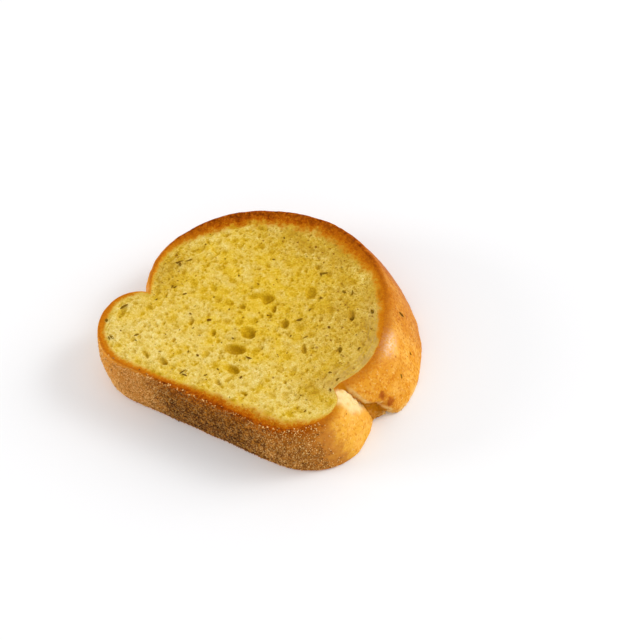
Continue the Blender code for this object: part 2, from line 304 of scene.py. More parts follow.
def lengthsFrom(ring, start):
    # Shortest way along the ring from one of its points to every other, in mm.
    turned = np.roll(ring, -start, axis=0)
    steps = np.linalg.norm(np.roll(turned, -1, axis=0) - turned, axis=1)
    ahead = np.concatenate(([0], np.cumsum(steps)[:-1]))
    return np.roll(np.minimum(ahead, steps.sum() - ahead), start)


def wallHeights():
    # Levels lie close together where the crust turns into the cut faces.
    thickness = loaf["thickness"]
    top = [0, 0.04, 0.14, 0.3, 0.5, 0.8, 1.15, 1.6, 2.15, 2.8, 3.5]
    bottom = [0, 0.25, 0.65]
    between = np.linspace(0.65, thickness - 3.5, 32)[1:-1].tolist()
    return bottom + between + [thickness - below for below in reversed(top)]


def wallLevel(height):
    # One level of the crust: its points, and what is known at each of them.
    thickness = loaf["thickness"]
    below = thickness - height
    ring = loafOutline(height)
    outward = outwardNormals(ring)
    isFoot = np.arange(len(ring)) < loaf["footSteps"]
    rightNotch = lengthsFrom(ring, loaf["footSteps"])
    leftNotch = lengthsFrom(ring, 0)
    u, v = ring[:, 0], ring[:, 1]

    # The crust turns into the upper cut face with this radius.
    radius = crustWall["edgeRound"] + crustWall["lobeRound"] * isFoot * smoothStep(u, 38, 54)
    radius = radius + ~isFoot * (
        crustWall["domeRound"] + crustWall["sideRound"] * smoothStep(u, 44, 57))
    sunk = np.clip(radius - below, 0, None)
    inset = radius - np.sqrt(np.clip(radius ** 2 - sunk ** 2, 0, None))
    inset += max(0.0, crustWall["bottomRound"] - height)

    points = np.column_stack((ring, np.full(len(ring), height)))
    uneven = noises(points, crustWall["uneven"])
    # Grit and flour stick to the base where it faces down.
    down = np.where(u < 0, crustWall["tilt"] - outward[:, 1], -outward[:, 1]) + uneven
    bare = np.interp(u, *crustWall["bareUnderRim"])
    leftEnd = crustWall["leftEnd"] + (1 - crustWall["leftEnd"]) * smoothStep(u, -60, -36)
    grit = isFoot * smoothStep(down, *crustWall["gritFaces"]) * leftEnd
    grit = grit * smoothStep((below + uneven + 0.4) / bare, 0, 1)
    floury = isFoot * smoothStep(down, *crustWall["flourFaces"]) * leftEnd
    floury = floury * smoothStep(below + uneven, -0.3, 1.2)

    # Torn crumb shows under the lip, in a wedge beside the right notch and at the left.
    lip = np.interp(height, tears["right"]["heights"], tears["right"]["lip"])
    underLip = ~isFoot * (u > 30) * smoothStep(lip - v, -0.6, 0.4)
    reach = np.interp(height, *crustWall["wedge"])
    wedge = isFoot * (u > 30) * (
        1 - smoothStep(rightNotch + 5.0 * uneven, reach - 1.6, reach + 3.0))
    wedge *= smoothStep(height, 7.0, 15.0)
    leftTorn = (1 - smoothStep(leftNotch, 2.5, 5.0)) * (u < 0)
    torn = np.maximum(np.maximum(underLip * 0.3, wedge), leftTorn * 0.1)

    # What pushes the crust out: bulge, waves, dents, the swell and the frayed edge.
    push = crustWall["bulge"] * math.sin(math.pi * height / thickness)
    if 0 < height < thickness:
        push = push + crustWall["waves"] * noiseAt(points / crustWall["waveSize"], 1.0)
        for kind, mask in (
                ("dents", 1 - grit), ("gritDents", grit),
                ("tornDents", np.maximum(torn, underLip))):
            for seed, (depth, size) in enumerate(crustWall[kind]):
                push = push + depth * mask * noiseAt(points, size, seed + 3)
    angle, _, _ = rimTable(points)
    push = push + ~isFoot * np.interp(angle, *crustWall["swell"]) * height / thickness
    frayed = ~isFoot * (u > 40) * (v < 48) * math.exp(-(height / 1.2) ** 2)
    push = push + frayed * noises(points, crustWall["fray"])
    points[:, :2] += outward * (push - inset)[:, None]

    # The torn crust has a pale edge, along the lip and along the slice's lower edge.
    lipEdge = ~isFoot * (u > 30) * np.exp(-((v - lip - 0.3 - 0.8 * uneven) / 0.4) ** 2)
    if height < 3:
        hem = math.exp(-((height - 0.9) / 0.8) ** 2) * smoothStep(uneven, -0.15, 0.1)
        lipEdge = lipEdge + ~isFoot * (u > 40) * (v < 58) * hem
    known = {
        "isFoot": isFoot, "below": below, "radius": radius, "grit": grit, "floury": floury,
        "torn": torn, "underLip": underLip, "lobe": isFoot * smoothStep(u, 30, 50),
        "lipEdge": np.minimum(lipEdge * smoothStep(below, 0.5, 4.0), 1.0),
        "gritGround": smoothStep(height, 0.2, 1.0) * grit,
    }
    return points, known


# The cut face. Angles run round the point (1, 50) from the right side over the top,
# in degrees: how brown the rim is there and how many mm it takes to fade.
cutFace = {
    "spacing": 0.52,         # of its points, and of the lower face's
    "lowerSpacing": 0.95,
    "sink": 0.8,             # of the crumb below the rim
    "flush": (40.0, 0.65),   # the angle where the crumb sinks least, and how much less
    "rimFall": 1.7,          # mm over which it sinks
    "waves": (0.45, 24.0),   # these and the next two are height and size
    "ripples": (0.2, 7.0),
    "grain": ((0.12, 1.5), (0.09, 0.8)),
    "centre": (1.0, 50.0),
    "angles": tuple(range(0, 361, 12)),
    "toast": (
        0.0, 0.0, 0.1, 0.25, 0.4, 0.55, 0.7, 0.8, 0.92, 0.95, 0.95, 1.0, 0.85, 0.6, 0.25,
        0.15, 0.0, 0.1, 0.12, 0.15, 0.25, 0.6, 1.0, 0.95, 0.95, 1.0, 1.0, 0.35, 0.0, 0.0, 0.0),
    "reach": (
        4.0, 4.0, 4.4, 5.2, 6.2, 8.0, 9.0, 9.2, 9.2, 9.2, 9.2, 9.8, 8.8, 6.6, 3.2,
        2.6, 2.0, 3.2, 3.6, 3.6, 3.8, 4.0, 4.8, 5.4, 6.6, 9.2, 9.2, 6.4, 2.4, 3.4, 4.0),
    # Soft spots: how strong, u, v, width and height. The rim is missing in the bare
    # ones, more butter has soaked into the gold ones, and the khaki ones make the crumb
    # duller and darker towards the top and right of the face; the small one beside the
    # cream wedge is painted shade.
    "bare": ((1.0, 60.5, 24.0, 6.0, 6.0), (1.0, -53.5, 38.5, 4.0, 4.0)),
    "gold": (
        (0.9, -8, 62, 30, 22), (0.7, 16, 70, 16, 16), (0.4, 5, 38, 22, 16),
        (-0.9, -40, 14, 22, 14), (-0.5, 30, 16, 25, 12)),
    "khaki": (
        (1.1, 10, 98, 42, 15), (0.8, -50, 52, 9, 14), (0.9, 42, 66, 22, 28),
        (0.6, 46, 26, 9, 9)),
}

# The pores: u, v, length, width, turn in degrees and depth of those that show most,
# and how many more there are, with their sizes, their spacing and depth per width.
pores = {
    "placed": (
        (2.9, 28.4, 11.3, 5.9, 15, 1.9), (3.8, 38.5, 7.9, 6.1, -44, 1.9),
        (7.4, 19.3, 8.7, 4.8, -3, 1.6), (0.2, 58.2, 7.7, 6.7, -18, 1.6),
        (15.0, 49.6, 5.1, 4.3, -38, 1.5), (16.9, 68.8, 7.8, 5.0, -54, 1.0),
        (39.7, 64.8, 7.0, 3.6, -58, 1.3), (6.4, 54.5, 5.1, 2.8, -54, 1.2),
        (6.6, 50.5, 3.6, 2.8, -45, 1.0), (-22.9, 10.2, 7.2, 3.3, -15, 1.3),
        (-32.1, 9.9, 7.1, 2.0, -28, 0.9), (5.4, 11.0, 4.8, 2.4, -27, 0.9),
        (18.3, 10.8, 5.3, 2.0, 1, 0.9), (-23.5, 33.4, 5.7, 2.4, -53, 1.0),
        (-10.8, 31.8, 4.3, 3.0, -48, 1.1), (-7.1, 49.7, 3.7, 3.0, -39, 0.9),
        (-45.5, 31.7, 4.1, 3.4, -10, 0.7), (12.3, 82.1, 3.8, 3.1, 8, 0.9),
        (-24.1, 91.4, 4.3, 2.8, 17, 0.8), (30, 41.5, 2.6, 6.5, 30, 1.1),
        (44.7, 46.7, 2.2, 3.2, 20, 1.0), (46.8, 70.5, 2.0, 3.0, 30, 0.9),
        (-24.8, 21.5, 2.6, 2.0, 0, 0.8), (31.7, 23, 2.4, 2.0, 0, 0.8),
        (37, 32, 2.2, 2.4, 0, 0.8)),
    "strewn": (
        {"count": 110, "size": (2.2, 4.2), "apart": 4.6, "depth": 0.14, "stretch": 1.0},
        {"count": 300, "size": (1.3, 2.2), "apart": 2.4, "depth": 0.26, "stretch": 1.3},
        {"count": 1700, "size": (0.6, 1.2), "apart": 1.05, "depth": 0.4, "stretch": 1.4},
    ),
    "seed": 5,
    "margin": 2.6,           # mm of crumb without pores inside the crust
    "lean": 0.5,             # how much deeper they are on the side at this angle
    "leanAngle": -10.0,
}


def insideRing(points, ring):
    # Even-odd test of each point against the closed ring.
    inside = np.zeros(len(points), bool)
    x, y = points[:, 0], points[:, 1]
    for (x0, y0), (x1, y1) in zip(ring, np.roll(ring, -1, axis=0)):
        if y0 == y1:
            continue
        cross = (y0 > y) != (y1 > y)
        inside ^= cross & (x < (x1 - x0) * (y - y0) / (y1 - y0) + x0)
    return inside


def treeOf(points):
    tree = kdtree.KDTree(len(points))
    for k, point in enumerate(points.tolist()):
        tree.insert((*point[:2], 0.0), k)
    tree.balance()
    return tree


def nearest(points, tree):
    found = [tree.find((*point[:2], 0.0))[1:] for point in points.tolist()]
    return np.array([f[0] for f in found]), np.array([f[1] for f in found])


def flattened(points):
    return np.column_stack((points[:, :2], np.zeros(len(points))))


def fillPoints(ring, spacing, rng):
    # Hexagonal points inside the ring, each a little off its place.
    low, high = ring.min(axis=0), ring.max(axis=0)
    rows = np.arange(low[1], high[1], spacing * math.sqrt(0.75))
    columns = np.arange(low[0], high[0], spacing)
    u, v = np.meshgrid(columns, rows)
    u = u + (np.arange(len(rows)) % 2)[:, None] * spacing / 2
    points = np.stack([u.ravel(), v.ravel()], axis=1)
    points += rng.uniform(-0.24, 0.24, points.shape) * spacing
    return points[insideRing(points, ring)]


def crumbPoints(ring, spacing, finer, clear, rng):
    # Points inside the ring and clear of it, with the nearest of its finer steps and
    # how far away that is.
    points = fillPoints(ring, spacing, rng)
    dense = evenly(np.concatenate((ring, ring[:1])), len(ring) * finer)
    which, distance = nearest(points, treeOf(dense))
    keep = distance > clear
    return points[keep], which[keep], distance[keep]


def triangles(ring, points):
    # Delaunay triangles between the ring and its inner points, all facing up.
    every = [Vector(p) for p in np.concatenate((ring, points)).tolist()]
    count = len(ring)
    edges = [(i, (i + 1) % count) for i in range(count)]
    verts, _, faces, origins, _, _ = geometry.delaunay_2d_cdt(every, edges, [], 1, 1e-7)
    index = [origin[0] for origin in origins]
    result = []
    for face in faces:
        a, b, c = (verts[k] for k in face)
        up = (b - a).cross(c - a) > 0
        result.append([index[k] for k in (face if up else reversed(face))])
    return result


def crumbDirection(ringTree, ring, u, v):
    # Pores near the crust run along it: the crust's angle, and how far inside it is.
    _, k, distance = ringTree.find((u, v, 0.0))
    along = ring[(k + 1) % len(ring)] - ring[k - 1]
    outside = (u - ring[k][0]) * along[1] - (v - ring[k][1]) * along[0] > 0
    return math.atan2(along[1], along[0]), -distance if outside else distance


def strewPores(ring, rng):
    # Dart throwing: no pore's centre comes too near one that is there already.
    ringTree = treeOf(ring)
    holes = [(*hole[:4], math.radians(hole[4]), hole[5]) for hole in pores["placed"]]
    low, high = ring.min(axis=0), ring.max(axis=0)
    for kind in pores["strewn"]:
        cell = kind["apart"]
        grid = {}
        for hole in holes:
            grid.setdefault((int(hole[0] // cell), int(hole[1] // cell)), []).append(hole)
        made = tries = 0
        while made < kind["count"] and tries < kind["count"] * 12:
            tries += 1
            u, v = rng.uniform(low, high)
            at = (int(u // cell), int(v // cell))
            around = [
                hole for i in (-1, 0, 1) for j in (-1, 0, 1)
                for hole in grid.get((at[0] + i, at[1] + j), ())]
            if any(math.hypot(u - hole[0], v - hole[1]) < cell for hole in around):
                continue
            angle, distance = crumbDirection(ringTree, ring, u, v)
            if distance < pores["margin"]:
                continue
            made += 1
            size = rng.uniform(*kind["size"])
            pull = math.exp(-distance / 12.0)
            angle += rng.normal() * (0.25 + 0.9 * (1 - pull))
            length = size * (1 + kind["stretch"] * (0.25 + pull) * rng.uniform(0.4, 1.3))
            hole = (u, v, length, size, angle, size * kind["depth"] * rng.uniform(0.6, 1.2))
            holes.append(hole)
            grid.setdefault(at, []).append(hole)
    return holes


def carve(points, holes):
    # How deep the pores are at each point: uneven bowls that lean to one side.
    tree = treeOf(points)
    flat = flattened(points)
    warps = [[noiseAt(flat, size, seed) for seed in (11, 12)] for size in (1.5, 4.0)]
    lean = math.radians(pores["leanAngle"])
    depth = np.zeros(len(points))
    for u, v, length, width, angle, deep in holes:
        near = [k for _, k, _ in tree.find_range((u, v, 0.0), length * 0.85 + 0.4)]
        if not near:
            continue
        warp = warps[width > 2.4]
        uneven = 0.14 * width + 0.1
        du = points[near, 0] - u + warp[0][near] * uneven
        dv = points[near, 1] - v + warp[1][near] * uneven
        along = (du * math.cos(angle) + dv * math.sin(angle)) * 2 / length
        across = (-du * math.sin(angle) + dv * math.cos(angle)) * 2 / width
        bowl = np.clip(1 - along ** 2 - across ** 2, 0, 1) ** 0.85
        side = (du * math.cos(lean) + dv * math.sin(lean)) * 2 / width
        bowl = deep * bowl * np.clip(1 + pores["lean"] * side, 0.2, 1.6)
        depth[near] = np.maximum(depth[near], bowl) + 0.3 * np.minimum(depth[near], bowl)
    return depth


def crumbLevel(points):
    # The height of the crumb before its pores: sunken, wavy and nearly flush on one side.
    flat = flattened(points)
    angle, _, _ = rimTable(points)
    toFlush = np.cos(np.radians(angle - cutFace["flush"][0])).clip(0, 1)
    away = np.linalg.norm(points[:, :2] - cutFace["centre"], axis=1)
    toFlush *= smoothStep(away, 20, 45)
    level = loaf["thickness"] - cutFace["sink"] * (1 - cutFace["flush"][1] * toFlush)
    for high, size in (cutFace["waves"], cutFace["ripples"]):
        level = level + high * noiseAt(flat, size)
    return level


def rimTable(points):
    # The angle of each point round the cut face, and the rim's browning and reach there.
    centre = cutFace["centre"]
    angle = np.degrees(np.arctan2(points[:, 1] - centre[1], points[:, 0] - centre[0])) % 360
    toast = np.interp(angle, cutFace["angles"], cutFace["toast"])
    reach = np.interp(angle, cutFace["angles"], cutFace["reach"])
    return angle, toast, reach


def spots(points, places):
    # How strong the soft spots are at each point, all together.
    total = np.zeros(len(points))
    for strength, u, v, wide, tall in places:
        away = ((points[:, 0] - u) / wide) ** 2 + ((points[:, 1] - v) / tall) ** 2
        total += strength * np.exp(-away)
    return total


def upperFace(ring, ringRadius, rng):
    # Points of the upper cut face, and what is known at each of them.
    points, which, distance = crumbPoints(ring, cutFace["spacing"], 4, 0.3, rng)
    flat = flattened(points)
    u, v = points[:, 0], points[:, 1]
    share = smoothStep(distance, 0, cutFace["rimFall"])
    height = loaf["thickness"] + (crumbLevel(points) - loaf["thickness"]) * share
    depth = carve(points, strewPores(ring, rng))
    for seed, (high, size) in enumerate(cutFace["grain"]):
        height += high * share * noiseAt(flat, size, seed + 5)
    height -= depth * smoothStep(distance, 0.6, 2.2)

    _, toast, reach = rimTable(points)
    fromEdge = distance + np.repeat(ringRadius, 4)[which]
    uneven = noises(flat, ((0.22, 5.0, 21), (0.2, 1.8, 22)))
    uneven *= 0.45 + 0.55 * smoothStep(v, 15, 50)
    rim = 1 - np.clip(fromEdge / reach + uneven * smoothStep(fromEdge, 0.5, 2.5), 0, 1.2) / 1.2
    pale = 1.4 * np.exp(-(distance / 7.0) ** 2) * smoothStep(u, 30, 48)
    pale *= smoothStep(v, 24, 32) * (1 - smoothStep(v, 68, 88))
    strays = 0.2 * (1 - smoothStep(distance, 0.0, 1.8)) * (v < 12)
    strays *= 1 - smoothStep(np.abs(u), 44, 54)
    known = {
        "face": 1.0, "rim": rim * (1 - spots(points, cutFace["bare"])), "toast": toast,
        "pit": 1 - np.exp(-depth / 0.6),
        "gold": np.clip(0.5 + 0.5 * spots(points, cutFace["gold"]), 0, 1),
        "khaki": spots(points, cutFace["khaki"]), "pale": pale, "gritGround": strays,
        "bake": 1.0, "alongCrust": which * 0.15, "fromCrust": distance,
        "herbGround": smoothStep(distance, 2.0, 5.0),
    }
    return np.column_stack((points, height)), allMasks(points, known)


def lowerFace(ring, rng):
    # The lower cut face rests on its strands, and its pores go up from there.
    points, which, distance = crumbPoints(ring, cutFace["lowerSpacing"], 2, 0.5, rng)
    flat = flattened(points)
    hollow = 0.25 + noises(flat, ((0.25, 2.6, 31), (0.2, 9.0, 32)))
    hollow += 0.55 * smoothStep(noiseAt(flat, 3.4, 33), 0.12, 0.4)
    height = np.clip(hollow, 0, None) * smoothStep(distance, 0.5, 3.0)
    _, toast, reach = rimTable(points)
    rim = 1 - np.clip((distance + 0.6) / reach + noiseAt(flat, 3.0, 34) * 0.2, 0, 1.2) / 1.2
    known = {
        "face": 1.0, "rim": rim, "pit": np.clip(height / 1.2, 0, 1), "toast": toast * 0.8,
        "gold": 0.5, "alongCrust": which * 0.3, "fromCrust": distance,
    }
    return np.column_stack((points, height)), allMasks(points, known)


def wallMasks(points, known):
    # Browning of the wall: dark along the upper edge of the dome, paler low down.
    angle, toast, _ = rimTable(points)
    u, height = points[:, 0], points[:, 2]
    toast = np.clip(1.7 * toast, 0, 1)
    uneven = 1 + noises(points, ((0.35, 7.0, 41), (0.12, 2.2, 42)))
    fade = np.exp(-known["below"] / (1.2 + 2.2 * toast) * uneven)
    over = np.interp(angle, *crustWall["domeBake"])
    bake = 0.12 + over + (0.15 + 0.25 * over) * noiseAt(points, 12.0, 43)
    bake = bake + 0.35 * over * noiseAt(points, 3.5, 45)
    base = np.interp(u, *crustWall["baseBake"])
    base = base + known["grit"] * noises(points, ((0.3, 2.2, 46), (0.3, 5.0, 47)))
    bake = np.where(known["isFoot"], base * known["floury"] + 0.05, bake)
    low = (1 - smoothStep(height, 0, 5)) * known["isFoot"]
    bake = bake + 0.4 * low * smoothStep(u, -58, -30) * (1 - smoothStep(u, 10, 35))
    blur = 0.8 * noiseAt(points, 1.4, 44)
    for *place, size in crustWall["blisters"]:
        away = np.linalg.norm(points - place, axis=1) / size + blur
        bake = bake + 1.2 * np.exp(-away.clip(0) ** 2)
    # Round this spot the crust is shiny, with its coat, and a highlight and sheen are painted on
    # it.
    *place, size = crustWall["shineAndPaintedSheenSpot"]
    away = np.linalg.norm((points - place) / (1, 1, 0.8), axis=1) / size
    coatAndPaintedSheen = np.exp(-away ** 2) * (1 - toast * fade)
    coatAndPaintedSheen = np.maximum(coatAndPaintedSheen, 0.2 * over * (1 - smoothStep(height, 15, 21)))
    return allMasks(points, {
        "rim": 0.85 - 0.65 * spots(points, cutFace["bare"]), "gold": 0.5,
        "toast": np.clip(toast * fade, 0, 1), "bake": np.clip(bake, 0, 1),
        "grit": known["floury"], "gritGround": known["gritGround"], "torn": known["torn"],
        "underLip": known["underLip"], "lipEdge": known["lipEdge"], "lobe": known["lobe"],
        "coatAndPaintedSheen": coatAndPaintedSheen * (1 - known["floury"]) * (1 - known["torn"]),
        "fromCrust": -known["below"] * 1.3 / known["radius"],
    })


def buildBread():
    # Lower face, wall and upper face as one closed mesh, in metres in the frame.
    rng = np.random.default_rng(pores["seed"])
    levels = [wallLevel(height) for height in wallHeights()]
    count = len(levels[0][0])
    parts = [points for points, _ in levels]
    masks = [wallMasks(points, known) for points, known in levels]
    faces = []
    for low in range(0, count * (len(levels) - 1), count):
        for i in range(count):
            j = (i + 1) % count
            faces.append((low + i, low + j, low + count + j, low + count + i))
    print("crust wall made")

    top, topMasks = upperFace(parts[-1][:, :2], levels[-1][1]["radius"], rng)
    bottom, bottomMasks = lowerFace(parts[0][:, :2], rng)
    wallCount = count * len(levels)
    for ringStart, ring, first, points, turned in (
            (wallCount - count, parts[-1], wallCount, top, False),
            (0, parts[0], wallCount + len(top), bottom, True)):
        for face in triangles(ring[:, :2], points[:, :2]):
            face = [ringStart + k if k < count else first + k - count for k in face]
            faces.append(tuple(reversed(face)) if turned else tuple(face))
    print("cut faces made")

    points = np.concatenate((*parts, top, bottom))
    points[:, :2] -= loaf["middle"]
    mesh = bpy.data.meshes.new("garlicBreadSlice")
    mesh.from_pydata((points * mm).tolist(), [], faces)
    for name in maskNames:
        values = np.concatenate([mask[name] for mask in (*masks, topMasks, bottomMasks)])
        attribute = mesh.attributes.new(name, "FLOAT", "POINT")
        attribute.data.foreach_set("value", values.astype(np.float32))
    mesh.shade_smooth()
    mesh.validate()
    return addObject("garlicBreadSlice", mesh)


def linear(hexColour):
    channels = [int(hexColour[k:k + 2], 16) / 255 for k in (1, 3, 5)]
    return (*(c / 12.92 if c <= 0.04045 else ((c + 0.055) / 1.055) ** 2.4 for c in channels), 1.0)


def setInputs(tree, node, inputs):
    # An input whose value is a socket is linked, and others are set.
    for name, value in inputs.items():
        if isinstance(value, bpy.types.NodeSocket):
            tree.links.new(value, node.inputs[name])
        else:
            node.inputs[name].default_value = value


def addNode(tree, kind, inputs=None, **settings):
    node = tree.nodes.new(kind)
    for name, value in settings.items():
        setattr(node, name, value)
    setInputs(tree, node, inputs or {})
    return node


def addMask(tree, name):
    return addNode(tree, "ShaderNodeAttribute", attribute_name=name).outputs["Fac"]


def addNoise(tree, coords, size, **inputs):
    return addNode(
        tree, "ShaderNodeTexNoise", {"Vector": coords, "Scale": 1 / (size * mm), **inputs})


def addMath(tree, operation, *values, clamp=False):
    return addNode(
        tree, "ShaderNodeMath", dict(enumerate(values)), operation=operation,
        use_clamp=clamp).outputs["Value"]


def addRange(tree, value, low, high, top=1.0):
    # The value between two of its own levels as 0 to this top.
    return addNode(
        tree, "ShaderNodeMapRange",
        {"Value": value, "From Min": low, "From Max": high, "To Max": top}).outputs["Result"]


def addMix(tree, amount, under, over, kind="RGBA"):
    # The sockets of the kinds share their names, so they go by number.
    first, result = {"RGBA": (6, 2), "FLOAT": (2, 0)}[kind]
    return addNode(
        tree, "ShaderNodeMix", {0: amount, first: under, first + 1: over},
        data_type=kind).outputs[result]


def addRamp(tree, level, stops):
    ramp = addNode(tree, "ShaderNodeValToRGB", {"Fac": level})
    elements = ramp.color_ramp.elements
    while len(elements) < len(stops):
        elements.new(0.5)
    for element, (place, hexColour) in zip(elements, stops):
        element.position = place
        element.color = linear(hexColour)
    return ramp.outputs["Color"]


def newMaterial(name):
    material = bpy.data.materials.new(name)
    material.use_nodes = True
    return material, material.node_tree, material.node_tree.nodes["Principled BSDF"]


# Toasted yeast bread under melted garlic butter: an open crumb of cream strands with
# mustard pores where the butter soaked in, darker deep down with painted shade, an orange
# line that turns dark brown at the rim, and a thin baked crust, smooth and a little greasy
# on the dome, where a highlight and sheen are painted too. Sizes are mm.
toastedBread = {
    "noises": (              # name, size, detail
        ("patch", 11.0, 4.0), ("butter", 6.0, 4.0), ("strand", 2.4, 3.0), ("web", 1.1, 3.0),
        ("speck", 0.45, 2.0), ("mottle", 6.0, 5.0), ("dapple", 2.0, 4.0), ("skin", 1.0, 3.0),
        ("flour", 1.3, 3.0)),
    "cells": (("pore", 0.9), ("dot", 3.0), ("blister", 3.2)),
    "sway": 2.2,             # bends the round cells out of shape
    "swaySize": 1.6,
    "streakLength": 6.0,
    "streakWidth": 0.8,
    "crumbRamp": (
        (0.0, "#b08a2c"), (0.25, "#c9a744"), (0.5, "#dcbf62"), (0.7, "#e8d180"),
        (1.0, "#f5e8aa")),
    "butterRamp": (
        (0.0, "#a87c0c"), (0.25, "#c09612"), (0.5, "#d6ae2a"), (0.7, "#e2bf46"),
        (1.0, "#efd26c")),
    "rimRamp": (
        (0.0, "#cc9e3c"), (0.1, "#c6902a"), (0.24, "#c2821c"), (0.34, "#bc7612"),
        (0.45, "#b66a0a"), (0.55, "#ae5c04"), (0.68, "#a44e02"), (0.8, "#984402"),
        (1.0, "#8e4206")),
    "paleRimRamp": (
        (0.0, "#d0a040"), (0.12, "#cc962c"), (0.25, "#cc8a1a"), (0.45, "#c87c10"),
        (0.7, "#c0700e"), (1.0, "#b2620c")),
    "khaki": "#b48a30", "pale": "#bd9850", "dots": "#86560e",
    "crust": "#e09a2c", "crustPale": "#edb24c", "crustDeep": "#cb750f", "crustFleck": "#f2c878",
    # The two pale colours after lobeGold are a painted highlight and sheen on the crust.
    "lobeGold": "#eab040", "paintedBroadHighlight": "#f8c88e", "paintedHighlightFlecks": "#f4d0a2",
    "crustBaked": "#ae5c18", "bakedFine": "#96480e", "blisters": "#9c5010",
    "char": "#561e02", "ember": "#c06c16",
    # The dark gold after tornShade is torn crumb with painted shade under the crust's lip.
    "torn": "#eed092", "tornShade": "#d8a244", "paintedShadeUnderLip": "#b87208", "lipEdge": "#e8be74",
    # The near-black after mealTan is baked crust with painted shade in the gaps among the grains.
    "mealTan": "#c27a30", "bakedGroundAndPaintedGapShade": "#341603", "gritPale": "#b8782a",
}


def toastedBreadMaterial():
    look = toastedBread
    material, tree, shader = newMaterial("toastedBread")
    coords = addNode(tree, "ShaderNodeTexCoord").outputs["Object"]
    value = {name: addMask(tree, name) for name in maskNames if name != "herbGround"}
    for name, size, detail in look["noises"]:
        value[name] = addNoise(
            tree, coords, size, Detail=detail, Roughness=0.55).outputs["Fac"]
    sway = addNoise(tree, coords, look["swaySize"]).outputs["Color"]
    swayed = addNode(
        tree, "ShaderNodeVectorMath", {0: sway, 1: (look["sway"] * mm,) * 3, 2: coords},
        operation="MULTIPLY_ADD").outputs["Vector"]
    for name, size in look["cells"]:
        value[name] = addNode(
            tree, "ShaderNodeTexVoronoi",
            {"Vector": swayed, "Scale": 1 / (size * mm)}).outputs["Distance"]
    place = addNode(
        tree, "ShaderNodeCombineXYZ", {"X": value["alongCrust"], "Y": value["fromCrust"]})
    drawn = addNode(
        tree, "ShaderNodeMapping",
        {"Vector": place.outputs["Vector"],
         "Scale": (1 / look["streakLength"], 1 / look["streakWidth"], 1.0)})
    value["streak"] = addNode(
        tree, "ShaderNodeTexNoise",
        {"Vector": drawn.outputs["Vector"], "Scale": 1.0, "Detail": 3.0}).outputs["Fac"]

    # Masks: a value between two of its own levels as 0 to 1, some of them times another.
    for name, source, low, high, times in (
            ("finePore", "web", 0.42, 0.62, None),
            ("finePore", "pore", 0.42, 0.1, "finePore"),
            ("dots", "patch", 0.4, 0.6, None),
            ("dots", "dot", 0.16, 0.07, "dots"),
            ("khakiPore", "pore", 0.5, 0.1, "khaki"),
            ("khakiDot", "dot", 0.22, 0.1, "khaki"),
            ("khaki", "patch", 0.24, 0.94, "khaki"),
            ("pale", "streak", 0.32, 0.68, "pale"),
            ("offLobe", "lobe", 3.2, 0.0, None),
            ("crustPale", "mottle", 0.44, 0.62, None),
            ("crustDeep", "dapple", 0.5, 0.75, "offLobe"),
            ("crustFine", "skin", 0.5, 0.85, "offLobe"),
            ("crustFleck", "flour", 0.58, 0.77, None),
            ("crustBaked", "bake", 0.0, 1.0, None),
            ("bakedFine", "skin", 0.48, 0.72, "crustBaked"),
            ("blisters", "mottle", 0.5, 0.6, None),
            ("blisters", "blister", 0.16, 0.06, "blisters"),
            ("lobeGold", "mottle", 0.62, 0.4, "lobe"),
            # The next three rows paint a pale highlight and sheen on the crust round its shiny
            # spot.
            ("paintedBroadHighlight", "coatAndPaintedSheen", 0.0, 3.8, None),
            ("paintedHighlightFlecks", "coatAndPaintedSheen", 0.2, 1.0, None),
            ("paintedHighlightFlecks", "skin", 0.42, 0.58, "paintedHighlightFlecks"),
            ("coatAndPaintedSheen", "dapple", 0.4, 0.56, "coatAndPaintedSheen"),
            ("mealTan", "grit", 0.2, 1.0, None),
            # Among the grains the ground is dark baked crust, with painted shade in the gaps
            # between them.
            ("bakedGroundAndPaintedGapShade", "gritGround", 0.5, 1.0, None),
            ("bakedGroundAndPaintedGapShade", "bake", -0.1, 0.9, "bakedGroundAndPaintedGapShade"),
            ("gritPale", "flour", 0.45, 0.62, "gritGround"),
            ("tornShade", "strand", 0.5, 0.9, "torn"),
            # Under the crust's lip the torn crumb is painted darker gold: its own colour with
            # painted shade under the overhang.
            ("paintedShadeUnderLip", "strand", 0.0, 0.5, "underLip"),
            ("char", "toast", 0.5, 1.0, None),
            ("char", "rim", 0.5, 0.95, "char"),
            ("char", "dapple", 0.48, 0.66, "char"),
            ("ember", "rim", 0.3, 0.9, "toast"),
            ("ember", "dapple", 0.46, 0.3, "ember"),
            ("wallRim", "toast", 0.0, 0.8, None),
            ("edge", "fromCrust", -0.7, 0.1, None),
            ("crustRough", "skin", -0.5, 1.4, None),
            ("crumbRough", "strand", -0.9, 0.9, None)):
        value[name] = addRange(tree, value[source], low, high, value.get(times, 1.0))

    # Sums: a start, and then each value times its weight.
    for name, total, terms in (
            # crumbLevel drops deep in the pores and in the fine pores that are only painted:
            # painted shade in the hollows, over the butter's mustard.
            ("crumbLevel", -0.68, (
                ("patch", 0.36), ("strand", 0.6), ("web", 0.78), ("speck", 0.85),
                ("pit", -0.5), ("finePore", -0.45), ("gold", -0.05), ("khakiPore", -0.5),
                ("khaki", -0.3))),
            ("soaked", -1.95, (("butter", 2.2), ("patch", 2.0), ("gold", 0.7), ("pit", 0.6))),
            ("uneven", -0.75, (("web", 1.3), ("strand", 0.6), ("speck", 1.6)))):
        for term, weight in terms:
            total = addMath(tree, "MULTIPLY_ADD", value[term], weight, total)
        value[name] = total
    rim = addMath(tree, "MULTIPLY", value["rim"], value["uneven"], clamp=True)

    colour = {"crust": linear(look["crust"])}
    for name, level in (
            ("crumbRamp", value["crumbLevel"]), ("butterRamp", value["crumbLevel"]),
            ("rimRamp", rim), ("paleRimRamp", rim)):
        colour[name] = addRamp(tree, level, look[name])
    value["faceRim"] = addRange(tree, rim, 0.06, 0.42)

